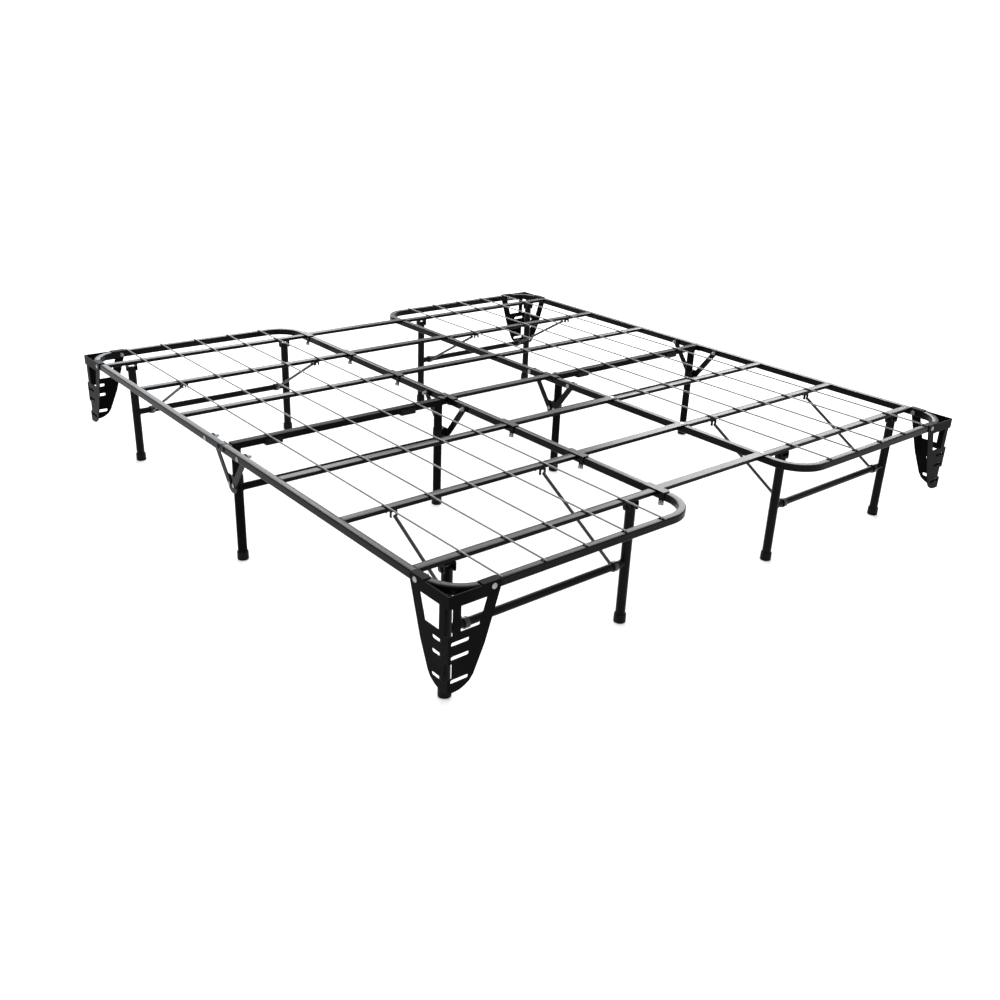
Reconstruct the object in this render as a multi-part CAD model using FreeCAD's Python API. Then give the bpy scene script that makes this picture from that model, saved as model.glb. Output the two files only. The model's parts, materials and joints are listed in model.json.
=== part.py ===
import FreeCAD, Part
import math
import os

# Folding metal bed frame, king size. Millimetres, +Z up.
# Origin: on the floor under the middle of the deck. X runs across the bed, +Y towards the head.
# The deck is two modules side by side, each cut at the middle (y = 0) into a foot and a head half.

os.makedirs("parts", exist_ok=True)

# ---- overall ----
DECK_TOP = 349.0            # top of the rails and of the cross bars
HALF_LENGTH = 1006.0        # outer face of the end rails
OUTER_FACE = 965.0          # outer face of the outer rails
INNER_FACE = 201.0          # face of the inner rails on the gap between the modules
MODULE_X = 583.0            # middle of a module
MID = (0, 0, 0)

# ---- rails ----
RAIL = 20.0                 # square tube
RAIL_WALL = 1.5
RAIL_BOTTOM = DECK_TOP - RAIL
RAIL_MID = DECK_TOP - RAIL / 2
BEND_R = 90.0               # centre line of the corner bends
OUTER_X = OUTER_FACE - RAIL / 2
INNER_X = INNER_FACE + RAIL / 2
END_Y = HALF_LENGTH - RAIL / 2
OUTER_IN = OUTER_FACE - RAIL        # module side of the outer rail
INNER_IN = INNER_FACE + RAIL        # module side of the inner rail

# ---- deck ----
BAR_W = 25.0                # flat cross bars, along Y
BAR_T = 10.0
BAR_WALL = 1.2
BAR_Y = (288.0, 576.0, 864.0)
WIRE_R = 2.25
WIRE_STEP = 123.0
WIRES = (-2, -1, 0, 1, 2)
WIRE_END = 1002.0
WIRE_BREAK = 33.0           # the long wires stop here on each side of the fold
WIRE_BRIDGE = 27.0          # half length of the short wires on the fold bar

# ---- centre fold ----
FOLD_Y = 16.0               # fold rivets on each side of the middle
FOLD_Z = 341.0
FOLD_NOSE = 15.9            # rail ends stay inside this radius above the rivet
RAIL_GAP = 0.5              # rail ends to the middle plane
PLATE_GAP = 0.3
PLATE_T = 2.5               # hinge plates
LINK_T = 3.0
TAB_T = 2.5
PIN_R = 4.0
RUN = 0.05                  # radial clearance of a running fit
HEAD_R = 7.0
HEAD_T = 2.7
LINK_BOLT_Y = 95.0
LINK_BOLT_Z = RAIL_MID
LINK_LOW_Y = 12.0
LINK_LOW_Z = 230.0
LINK_W = 20.0

# ---- legs ----
LEG_R = 13.0
LEG_WALL = 1.5
CAP_R = 16.0
CAP_H = 25.0
CAP_FLOOR = 4.0
CROSS_R = 10.0              # lower cross tubes
END_LEG_X = (304.0, 865.0)
END_LEG_Y = 866.0
END_LEG_TOP = 327.0
LEG_PIVOT_Z = 323.0
END_CROSS_Z = 171.0
MID_LEG_X = (251.0, 922.0)
MID_CROSS_Z = 216.0
FOLD_BAR_H = 18.0
FOLD_BAR_BOTTOM = DECK_TOP - FOLD_BAR_H

# ---- leg hangers, brace rods ----
HANGER_GAP = 0.4
HANGER_T = 2.2
HANGER_W = 25.0
HANGER_BOTTOM = 315.0
HANGER_WEB = 1.8
ROD_X = (345.0, 812.0)
ROD_R = 4.5
ROD_TILT = 30.3             # degrees above level
ROD_LENGTH = 318.0
ROD_DROP = 5.5              # rod axis below the cross tube axis
EYE_R = 13.5
EYE_W = 13.0
CLIP_W = 18.0
CLIP_L = 28.0
CLIP_T = 2.5
PRONG_T = 2.0
PRONG_L = 8.0
PRONG_BOTTOM = 322.0

# ---- corner brackets ----
BRACKET_T = 2.5
# outlines as (distance from the bend, height)
BRACKET_EDGE = ((0, 349), (136, 349), (133, 330), (96, 212), (68, 148), (58, 135), (45, 127), (33, 122.5),
                (20, 121), (0, 121))
WINDOW = ((32, 260), (32, 320), (100, 320), (81, 260))
SLOT_Z = (237.0, 204.0, 148.0)
SLOT_R = 4.75
SLOT_FROM = 8.0             # ends of the slots, from the bend
SLOT_TO = 55.0
CORNER_CUT = 12.0
CORNER_CUTS = ((256.0, 319.0), (156.0, 191.0))
TAB_FROM = 87.0             # tabs of the wings over the rails
TAB_TO = 133.0
TAB_IN = 20.0
BRACKET_BOLT_U = 116.0
BRACKET_BOLT_TAIL = 34.5
NUT_T = 6.0

# ---- joining bars between the modules ----
JOIN_TOP = 352.0
JOIN_BOTTOM = 342.0
JOIN_PLATE_T = 3.0
SADDLE_L = 70.0
STRAP_T = 3.0
STRAP_W = 20.0
STRAP_OFF = 30.0
STRAP_BOTTOM = 318.0
KNOB_R = 5.0
KNOB_BASE_R = 6.5
HOOK_BOLT_R = 6.0
HOOK_BOLT_H = 1.2
CENTRE_STOP = 5.0           # the wide part of the middle bar stops this short of the rails
CENTRE_LIFT = 0.4           # its straps clear the turning rail ends by this much
STRAP_HALF = 4.4            # half widths of the strap over the rail and beside the hinge plate
STRAP_SLIM = 2.6
SPLIT_SADDLE_Y = 7.0

# ---- link sliders, saddles ----
TAB_EDGE = ((-24, 255), (-25, 251), (-25, 222), (-20, 211), (-11, 205), (0, 203), (11, 205), (20, 211),
            (25, 222), (25, 251), (24, 255))
HINGE_HALF = FOLD_Y + 12.0
HINGE_EDGE = ((-HINGE_HALF, 335), (-HINGE_HALF + 6, 329), (HINGE_HALF - 6, 329), (HINGE_HALF, 335),
              (HINGE_HALF, 344), (HINGE_HALF - 5, 348.7), (-HINGE_HALF + 5, 348.7), (-HINGE_HALF, 344))
SADDLE_HALF = 26.0
SADDLE_WIDE = 14.5
SADDLE_Z = (324.0, 343.0)
SADDLE_X = (-814.0, -370.0, 352.0, 796.0)
EASE = 1.0                  # overshoot of a cutting tool

ALONG_X = FreeCAD.Vector(1, 0, 0)
ALONG_Y = FreeCAD.Vector(0, 1, 0)
ALONG_Z = FreeCAD.Vector(0, 0, 1)


def box(x0, x1, y0, y1, z0, z1):
    """A block between two corners, given in any order."""
    low = FreeCAD.Vector(min(x0, x1), min(y0, y1), min(z0, z1))
    return Part.makeBox(abs(x1 - x0), abs(y1 - y0), abs(z1 - z0), low)


def rod_x(x0, x1, y, z, radius):
    """A round bar along X."""
    return Part.makeCylinder(radius, abs(x1 - x0), FreeCAD.Vector(min(x0, x1), y, z), ALONG_X)


def rod_y(x, y0, y1, z, radius):
    """A round bar along Y."""
    return Part.makeCylinder(radius, abs(y1 - y0), FreeCAD.Vector(x, min(y0, y1), z), ALONG_Y)


def rod_z(x, y, z0, z1, radius):
    """A round bar along Z."""
    return Part.makeCylinder(radius, z1 - z0, FreeCAD.Vector(x, y, z0), ALONG_Z)


def plate_yz(points, x0, x1):
    """A flat plate whose outline is given in (y, z), from x0 to x1."""
    low = min(x0, x1)
    corners = [FreeCAD.Vector(low, y, z) for y, z in points]
    face = Part.Face(Part.makePolygon(corners + corners[:1]))
    return face.extrude(FreeCAD.Vector(abs(x1 - x0), 0, 0))


def fuse(shapes):
    """One clean solid from touching or overlapping pieces."""
    whole = shapes[0].multiFuse(shapes[1:]) if len(shapes) > 1 else shapes[0]
    return whole.removeSplitter()


def side(shape, sx):
    """The shape itself on the right, its mirror image on the left."""
    return shape if sx > 0 else shape.mirror(FreeCAD.Vector(*MID), FreeCAD.Vector(1, 0, 0))


def end(shape, sy):
    """The shape itself at the head end, its mirror image at the foot end."""
    return shape if sy > 0 else shape.mirror(FreeCAD.Vector(*MID), FreeCAD.Vector(0, 1, 0))


def solids_of(shape):
    return shape.Solids if shape.Solids else [shape]


def export(name, shapes):
    """Writes one node; every entry of the list is its own solid."""
    flat = []
    for shape in shapes:
        flat.extend(solids_of(shape))
    whole = flat[0] if len(flat) == 1 else Part.makeCompound(flat)
    whole.exportStep("parts/" + name + ".step")


# ---- rails ----
def u_outline(half_width, z0, height, y_start):
    """A U in plan on the right module: along both rails from y_start and round the end rail."""
    out = BEND_R + half_width
    inn = BEND_R - half_width
    x_in, x_out = INNER_X, OUTER_X
    y_bend = END_Y - BEND_R
    centre_out = (x_out - BEND_R, y_bend)
    centre_in = (x_in + BEND_R, y_bend)

    def point(x, y):
        return FreeCAD.Vector(x, y, z0)

    def corner(centre, radius, a0, a1):
        angles = [math.radians(a) for a in (a0, (a0 + a1) / 2, a1)]
        pts = [point(centre[0] + radius * math.cos(a), centre[1] + radius * math.sin(a)) for a in angles]
        return Part.Arc(*pts).toShape()

    def line(a, b):
        return Part.makeLine(a, b)

    edges = [
        line(point(x_out + half_width, y_start), point(x_out + half_width, y_bend)),
        corner(centre_out, out, 0, 90),
        line(point(x_out - BEND_R, END_Y + half_width), point(x_in + BEND_R, END_Y + half_width)),
        corner(centre_in, out, 90, 180),
        line(point(x_in - half_width, y_bend), point(x_in - half_width, y_start)),
        line(point(x_in - half_width, y_start), point(x_in + half_width, y_start)),
        line(point(x_in + half_width, y_start), point(x_in + half_width, y_bend)),
        corner(centre_in, inn, 180, 90),
        line(point(x_in + BEND_R, END_Y - half_width), point(x_out - BEND_R, END_Y - half_width)),
        corner(centre_out, inn, 90, 0),
        line(point(x_out - half_width, y_bend), point(x_out - half_width, y_start)),
        line(point(x_out - half_width, y_start), point(x_out + half_width, y_start)),
    ]
    face = Part.Face(Part.Wire(edges))
    return face.extrude(FreeCAD.Vector(0, 0, height))


def u_rail():
    """The bent square tube of one half module, with its fold ends rounded and its holes drilled."""
    outside = u_outline(RAIL / 2, RAIL_BOTTOM, RAIL, RAIL_GAP)
    bore = RAIL - 2 * RAIL_WALL
    inside = u_outline(bore / 2, RAIL_BOTTOM + RAIL_WALL, bore, -EASE)
    tube = outside.cut(inside)
    cuts = []
    for x in (INNER_X, OUTER_X):
        x0, x1 = x - RAIL / 2 - EASE, x + RAIL / 2 + EASE
        over = box(x0, x1, -EASE, FOLD_Y, FOLD_Z, DECK_TOP + EASE)
        cuts.append(over.cut(rod_x(x0, x1, FOLD_Y, FOLD_Z, FOLD_NOSE)))
        cuts.append(rod_x(x0, x1, FOLD_Y, FOLD_Z, PIN_R + RUN))
        cuts.append(rod_x(x0, x1, LINK_BOLT_Y, LINK_BOLT_Z, PIN_R))
    bolt_x = OUTER_FACE + BRACKET_T - BRACKET_BOLT_U
    bolt_y = HALF_LENGTH + BRACKET_T - BRACKET_BOLT_U
    cuts.append(rod_x(OUTER_IN - EASE, OUTER_FACE + EASE, bolt_y, RAIL_MID, PIN_R))
    cuts.append(rod_y(bolt_x, HALF_LENGTH - RAIL - EASE, HALF_LENGTH + EASE, RAIL_MID, PIN_R))
    for cut in cuts:
        tube = tube.cut(cut)
    return tube


def cross_bar(y):
    """A flat tube across one module, welded between its rails."""
    outer = box(INNER_IN, OUTER_IN, y - BAR_W / 2, y + BAR_W / 2, DECK_TOP - BAR_T, DECK_TOP)
    inner = box(INNER_IN - 1, OUTER_IN + 1, y - BAR_W / 2 + BAR_WALL, y + BAR_W / 2 - BAR_WALL,
                DECK_TOP - BAR_T + BAR_WALL, DECK_TOP - BAR_WALL)
    return outer.cut(inner)


def wire(x, y0, y1):
    """A straight deck wire with round ends, lying on the bars."""
    z = DECK_TOP + WIRE_R
    body = rod_y(x, y0, y1, z, WIRE_R)
    caps = [Part.makeSphere(WIRE_R, FreeCAD.Vector(x, y, z)) for y in (y0, y1)]
    return fuse([body] + caps)


# ---- corner brackets ----
def bracket():
    """The folded headboard bracket at the outer corner of the right module, head end."""
    x_face = OUTER_FACE + BRACKET_T
    y_face = HALF_LENGTH + BRACKET_T

    def on_side(points, thick):
        corners = [FreeCAD.Vector(x_face - thick, y_face - u, z) for u, z in points]
        face = Part.Face(Part.makePolygon(corners + corners[:1]))
        return face.extrude(FreeCAD.Vector(thick, 0, 0))

    def on_end(points, thick):
        corners = [FreeCAD.Vector(x_face - u, y_face - thick, z) for u, z in points]
        face = Part.Face(Part.makePolygon(corners + corners[:1]))
        return face.extrude(FreeCAD.Vector(0, thick, 0))

    body = fuse([on_side(BRACKET_EDGE, BRACKET_T), on_end(BRACKET_EDGE, BRACKET_T)])
    deep = BRACKET_T + EASE
    near, far = SLOT_FROM + SLOT_R, SLOT_TO - SLOT_R
    cuts = []
    for wing in (on_side, on_end):
        cuts.append(wing(WINDOW, BRACKET_T))
        for z0, z1 in CORNER_CUTS:
            cuts.append(wing(((-1, z0), (CORNER_CUT, z0), (CORNER_CUT, z1), (-1, z1)), deep))
        for z in SLOT_Z:
            low, high = z - SLOT_R, z + SLOT_R
            cuts.append(wing(((near, low), (far, low), (far, high), (near, high)), BRACKET_T))
    for z in SLOT_Z:
        for u in (near, far):
            cuts.append(rod_x(x_face - BRACKET_T, x_face, y_face - u, z, SLOT_R))
            cuts.append(rod_y(x_face - u, y_face - BRACKET_T, y_face, z, SLOT_R))
    cuts.append(rod_x(x_face - deep, x_face + EASE, y_face - BRACKET_BOLT_U, RAIL_MID, PIN_R))
    cuts.append(rod_y(x_face - BRACKET_BOLT_U, y_face - deep, y_face + EASE, RAIL_MID, PIN_R))
    body = body.cut(cuts[0].multiFuse(cuts[1:]))
    tabs = [
        box(x_face - TAB_IN, x_face, y_face - TAB_TO, y_face - TAB_FROM, DECK_TOP, DECK_TOP + BRACKET_T),
        box(x_face - TAB_TO, x_face - TAB_FROM, y_face - TAB_IN, y_face, DECK_TOP, DECK_TOP + BRACKET_T),
    ]
    return fuse([body] + tabs)


def bracket_bolts():
    """The two bolts of one bracket, head outside."""
    x_face = OUTER_FACE + BRACKET_T
    y_face = HALF_LENGTH + BRACKET_T
    x, y = x_face - BRACKET_BOLT_U, y_face - BRACKET_BOLT_U
    along_x = fuse([rod_x(x_face - BRACKET_BOLT_TAIL, x_face, y, RAIL_MID, PIN_R),
                    rod_x(x_face, x_face + HEAD_T, y, RAIL_MID, HEAD_R)])
    along_y = fuse([rod_y(x, y_face - BRACKET_BOLT_TAIL, y_face, RAIL_MID, PIN_R),
                    rod_y(x, y_face, y_face + HEAD_T, RAIL_MID, HEAD_R)])
    return [along_x, along_y]


def bracket_nuts():
    """The nuts on the module side of the rails, one per bracket bolt."""
    x = OUTER_FACE + BRACKET_T - BRACKET_BOLT_U
    y = HALF_LENGTH + BRACKET_T - BRACKET_BOLT_U
    inside = HALF_LENGTH - RAIL
    first = rod_x(OUTER_IN - NUT_T, OUTER_IN, y, RAIL_MID, HEAD_R)
    first = first.cut(rod_x(OUTER_IN - NUT_T - EASE, OUTER_IN + EASE, y, RAIL_MID, PIN_R))
    second = rod_y(x, inside - NUT_T, inside, RAIL_MID, HEAD_R)
    second = second.cut(rod_y(x, inside - NUT_T - EASE, inside + EASE, RAIL_MID, PIN_R))
    return [first, second]


# ---- end legs ----
def hanger(x):
    """The U of bent plate under a cross bar that holds one end leg."""
    inner = LEG_R + HANGER_GAP
    outer = inner + HANGER_T
    half = HANGER_W / 2
    y = END_LEG_Y
    web = box(x - outer, x + outer, y - half, y + half, DECK_TOP - BAR_T - HANGER_WEB, DECK_TOP - BAR_T)
    cheeks = []
    for s in (-1, 1):
        cheek = box(x + s * inner, x + s * outer, y - half, y + half, LEG_PIVOT_Z, DECK_TOP - BAR_T)
        lower = rod_x(x + s * inner, x + s * outer, y, LEG_PIVOT_Z, half)
        lower = lower.common(box(x - outer, x + outer, y - half, y + half, HANGER_BOTTOM, LEG_PIVOT_Z))
        cheeks.extend([cheek, lower])
    whole = fuse([web] + cheeks)
    return whole.cut(rod_x(x - outer - 1, x + outer + 1, y, LEG_PIVOT_Z, PIN_R))


def leg_rivet(x):
    """The rivet an end leg turns on."""
    outer = LEG_R + HANGER_GAP + HANGER_T
    shank = rod_x(x - outer, x + outer, END_LEG_Y, LEG_PIVOT_Z, PIN_R)
    heads = [rod_x(x + s * outer, x + s * (outer + HEAD_T), END_LEG_Y, LEG_PIVOT_Z, HEAD_R) for s in (-1, 1)]
    return fuse([shank] + heads)


def ladder(xs, y, top, cross_z):
    """Two legs and the lower cross tube welded between them."""
    legs = rod_z(xs[0], y, CAP_FLOOR, top, LEG_R).fuse(rod_z(xs[1], y, CAP_FLOOR, top, LEG_R))
    frame = legs.fuse(rod_x(xs[0], xs[1], y, cross_z, CROSS_R))
    bores = [rod_z(x, y, CAP_FLOOR - 1, top + 1, LEG_R - LEG_WALL) for x in xs]
    frame = frame.cut(bores[0].fuse(bores[1]))
    x0, x1 = xs[0] + LEG_R - LEG_WALL / 2, xs[1] - LEG_R + LEG_WALL / 2
    cross_bore = rod_x(x0, x1, y, cross_z, CROSS_R - LEG_WALL)
    return frame.cut(cross_bore).removeSplitter()


def end_frame():
    """One folding end leg frame, right module, head end."""
    frame = ladder(END_LEG_X, END_LEG_Y, END_LEG_TOP, END_CROSS_Z)
    for x in END_LEG_X:
        frame = frame.cut(rod_x(x - LEG_R - 1, x + LEG_R + 1, END_LEG_Y, LEG_PIVOT_Z, PIN_R + RUN))
    return frame


def foot_cap(x, y):
    """A plastic cup on the bottom of a leg."""
    cup = rod_z(x, y, 0, CAP_H, CAP_R)
    rim = [edge for edge in cup.Edges if edge.BoundBox.ZLength < 0.01]
    cup = cup.makeFillet(1.5, rim)
    return cup.cut(rod_z(x, y, CAP_FLOOR, CAP_H + 1, LEG_R))


# ---- brace rods ----
def brace_rod(x):
    """A rod with an eye round the cross tube of its leg frame, right module, head end."""
    tilt = math.radians(ROD_TILT)
    y0, z0 = END_LEG_Y, END_CROSS_Z
    toward = FreeCAD.Vector(0, -math.cos(tilt), math.sin(tilt))
    start = FreeCAD.Vector(x, y0, z0 - ROD_DROP)
    body = Part.makeCylinder(ROD_R, ROD_LENGTH, start, toward)
    tip = Part.makeSphere(ROD_R, start + toward * ROD_LENGTH)
    eye = rod_x(x - EYE_W / 2, x + EYE_W / 2, y0, z0, EYE_R)
    whole = fuse([eye, body, tip])
    return whole.cut(rod_x(x - EYE_W, x + EYE_W, y0, z0, CROSS_R + RUN))


def rod_clip(x):
    """The forked clip under a cross bar that takes the upper end of a brace rod."""
    y_mid = BAR_Y[1]
    y0, y1 = y_mid - CLIP_L / 2, y_mid + CLIP_L / 2
    under = DECK_TOP - BAR_T
    base = box(x - CLIP_W / 2, x + CLIP_W / 2, y0, y1, under - CLIP_T, under)
    prongs = []
    for s in (-1, 1):
        edge = x + s * CLIP_W / 2
        prongs.append(box(edge, edge - s * PRONG_T, y1 - PRONG_L, y1, PRONG_BOTTOM, under))
        prongs.append(box(edge, edge - s * PRONG_T, y0, y0 + PRONG_L, PRONG_BOTTOM + 5, under))
    return fuse([base] + prongs)


# ---- centre fold ----
# Planes across the fold, from an inner or outer rail into its module (d = +1 or -1 along X).
FOLD_SIDES = ((INNER_IN, 1), (OUTER_IN, -1))
PLATE_FROM = PLATE_GAP
PLATE_TO = PLATE_FROM + PLATE_T
LINK_FROM = PLATE_TO + PLATE_GAP
LINK_TO = LINK_FROM + LINK_T
TAB_BY = LINK_TO + PLATE_GAP
TAB_END = TAB_BY + TAB_T
NECK_HALF = 2.5
BAR_STOP = 9.3              # fold bar ends this far from the rail face


def fold_frame():
    """The middle leg frame of the right module: two legs, lower cross tube, fold bar."""
    frame = ladder(MID_LEG_X, 0.0, FOLD_BAR_BOTTOM, MID_CROSS_Z)
    x0, x1 = INNER_IN + BAR_STOP, OUTER_IN - BAR_STOP
    bar = box(x0, x1, -BAR_W / 2, BAR_W / 2, FOLD_BAR_BOTTOM, DECK_TOP)
    bore = box(x0 + 2, x1 - 2, -BAR_W / 2 + BAR_WALL, BAR_W / 2 - BAR_WALL,
               FOLD_BAR_BOTTOM + BAR_WALL, DECK_TOP - BAR_WALL)
    necks = [
        box(INNER_IN + PLATE_TO, x0, -NECK_HALF, NECK_HALF, FOLD_BAR_BOTTOM + 1, DECK_TOP - 2),
        box(x1, OUTER_IN - PLATE_TO, -NECK_HALF, NECK_HALF, FOLD_BAR_BOTTOM + 1, DECK_TOP - 2),
    ]
    return fuse([frame, bar.cut(bore)] + necks)


def hinge_plate(face, d):
    """The plate beside a rail that carries the two fold rivets."""
    x0, x1 = face + d * PLATE_FROM, face + d * PLATE_TO
    plate = plate_yz(HINGE_EDGE, x0, x1)
    for s in (-1, 1):
        plate = plate.cut(rod_x(x0 - 3, x1 + 3, s * FOLD_Y, FOLD_Z, PIN_R))
    return plate


def fold_rivet(face, d, s):
    """A fold rivet: flush in the hinge plate, headed outside the rail."""
    inner = face + d * PLATE_TO
    outer = face - d * (RAIL + PLATE_GAP)
    shank = rod_x(inner, outer, s * FOLD_Y, FOLD_Z, PIN_R)
    head = rod_x(outer, outer - d * HEAD_T, s * FOLD_Y, FOLD_Z, HEAD_R)
    return fuse([shank, head])


def link_bolt(face, d, s):
    """The bolt through a rail that a folding link turns on, head outside."""
    head_at = face - d * RAIL
    tail_at = face + d * 20
    shank = rod_x(head_at, tail_at, s * LINK_BOLT_Y, LINK_BOLT_Z, PIN_R)
    head = rod_x(head_at, head_at - d * HEAD_T, s * LINK_BOLT_Y, LINK_BOLT_Z, HEAD_R)
    return fuse([shank, head])


def link_nuts(face, d, s):
    """The washer between rail and link and the nut behind the link."""
    y, z = s * LINK_BOLT_Y, LINK_BOLT_Z
    rings = []
    for near, far in ((0.0, LINK_FROM - PLATE_GAP), (TAB_BY, TAB_BY + 6.0)):
        ring = rod_x(face + d * near, face + d * far, y, z, HEAD_R)
        rings.append(ring.cut(rod_x(face + d * (near - 1), face + d * (far + 1), y, z, PIN_R)))
    return rings


def fold_link(face, d, s):
    """A flat link from the rail bolt down to the slider."""
    x0, x1 = face + d * LINK_FROM, face + d * LINK_TO
    top = (s * LINK_BOLT_Y, LINK_BOLT_Z)
    low = (s * LINK_LOW_Y, LINK_LOW_Z)
    dy, dz = low[0] - top[0], low[1] - top[1]
    length = math.hypot(dy, dz)
    ny, nz = -dz / length * LINK_W / 2, dy / length * LINK_W / 2
    strip = plate_yz(((top[0] + ny, top[1] + nz), (low[0] + ny, low[1] + nz),
                      (low[0] - ny, low[1] - nz), (top[0] - ny, top[1] - nz)), x0, x1)
    ends = [rod_x(x0, x1, p[0], p[1], LINK_W / 2) for p in (top, low)]
    whole = fuse([strip] + ends)
    whole = whole.cut(rod_x(x0 - 5, x1 + 5, top[0], top[1], PIN_R + RUN))
    return whole.cut(rod_x(x0 - 5, x1 + 5, low[0], low[1], PIN_R))


def link_rivet(face, d, s):
    """The rivet in the lower end of a link, flush on the slider's side."""
    x0, x1 = face + d * LINK_FROM, face + d * LINK_TO
    shank = rod_x(x0, x1, s * LINK_LOW_Y, LINK_LOW_Z, PIN_R)
    head = rod_x(x0, x0 - d * 2.0, s * LINK_LOW_Y, LINK_LOW_Z, 6.0)
    return fuse([shank, head])


COLLAR_IN = LEG_R + 0.3
COLLAR_OUT = COLLAR_IN + 2.0
COLLAR_Z = (231.0, 254.0)


def link_slider(face, d, leg_x):
    """The sleeve on a middle leg with the tab that the two links push."""
    near, far = face + d * TAB_BY, face + d * TAB_END
    tab = plate_yz(TAB_EDGE, near, far)
    sleeve = rod_z(leg_x, 0, COLLAR_Z[0], COLLAR_Z[1], COLLAR_OUT)
    bridge = box(far, leg_x, -8, 8, COLLAR_Z[0], COLLAR_Z[1])
    heads = [rod_x(far, far + d * 1.5, s * LINK_LOW_Y, LINK_LOW_Z, 5.0) for s in (-1, 1)]
    whole = fuse([tab, sleeve, bridge] + heads)
    return whole.cut(rod_z(leg_x, 0, COLLAR_Z[0] - 30, COLLAR_Z[1] + 30, COLLAR_IN))


def fold_saddle(x):
    """A saddle block clamped round the fold bar."""
    low, high = SADDLE_Z
    x0, x1 = x - SADDLE_HALF, x + SADDLE_HALF
    body = box(x0, x1, -SADDLE_WIDE, SADDLE_WIDE, low, high)
    edges = [edge for edge in body.Edges if edge.BoundBox.ZMax < low + EASE]
    body = body.makeFillet(3.0, edges)
    return body.cut(box(x0 - EASE, x1 + EASE, -BAR_W / 2, BAR_W / 2, FOLD_BAR_BOTTOM, high + EASE))


# ---- joining bars ----
def joining_bar(y):
    """A bar across the gap, saddled over both inner rails and strapped down on the left one."""
    reach = INNER_FACE - 0.3
    half = BAR_W / 2
    bar = box(-reach, reach, y - half, y + half, JOIN_BOTTOM, JOIN_TOP)
    left = INNER_IN + STRAP_T
    saddle = box(-left, -reach, y - SADDLE_L / 2, y + SADDLE_L / 2, DECK_TOP, JOIN_TOP)
    saddle = saddle.makeFillet(4.0, [e for e in saddle.Edges if e.BoundBox.ZLength > 2.0])
    y0, y1 = y - STRAP_OFF - STRAP_W / 4, y - STRAP_OFF + STRAP_W / 2
    strap = box(-left, -INNER_IN, y0, y1, STRAP_BOTTOM, JOIN_TOP)
    hook = box(reach, INNER_IN, y - half, y + half, DECK_TOP, JOIN_TOP)
    return fuse([bar, saddle, strap, hook])


def joining_knob(y):
    """The knob screwed through the foot of a strap."""
    left = INNER_IN + STRAP_T
    yk, zk = y - STRAP_OFF, STRAP_BOTTOM + 6
    return fuse([rod_x(-left - 8, -left, yk, zk, KNOB_R), rod_x(-left - 3, -left, yk, zk, KNOB_BASE_R)])


def joining_bolt(y):
    """The bolt that holds the hook down on the right inner rail."""
    return rod_z(INNER_X, y, JOIN_TOP, JOIN_TOP + HOOK_BOLT_H, HOOK_BOLT_R)


def centre_joining_bar():
    """The bar that ties the two middle leg frames; it passes between the folding rail ends."""
    stop = INNER_FACE - CENTRE_STOP
    half = BAR_W / 2
    pieces = [box(-stop, stop, -half, half, JOIN_BOTTOM, JOIN_TOP)]
    low = DECK_TOP + CENTRE_LIFT
    link_at = INNER_IN + PLATE_TO + 0.1
    bar_at = INNER_IN + BAR_STOP
    for s in (-1, 1):
        pieces.append(box(s * (stop - 1), s * link_at, -STRAP_HALF, STRAP_HALF, low, JOIN_TOP))
        pieces.append(box(s * link_at, s * (bar_at + 1), -STRAP_SLIM, STRAP_SLIM, low, JOIN_TOP))
        pieces.append(box(s * (bar_at + 0.5), s * (bar_at + 16), -half, half, DECK_TOP, JOIN_TOP))
    return fuse(pieces)


def centre_saddle(s):
    """Half of the split saddle plate over an inner rail beside the fold."""
    return box(s * INNER_FACE, s * INNER_IN, SPLIT_SADDLE_Y, SADDLE_L / 2, DECK_TOP, JOIN_TOP)


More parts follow.
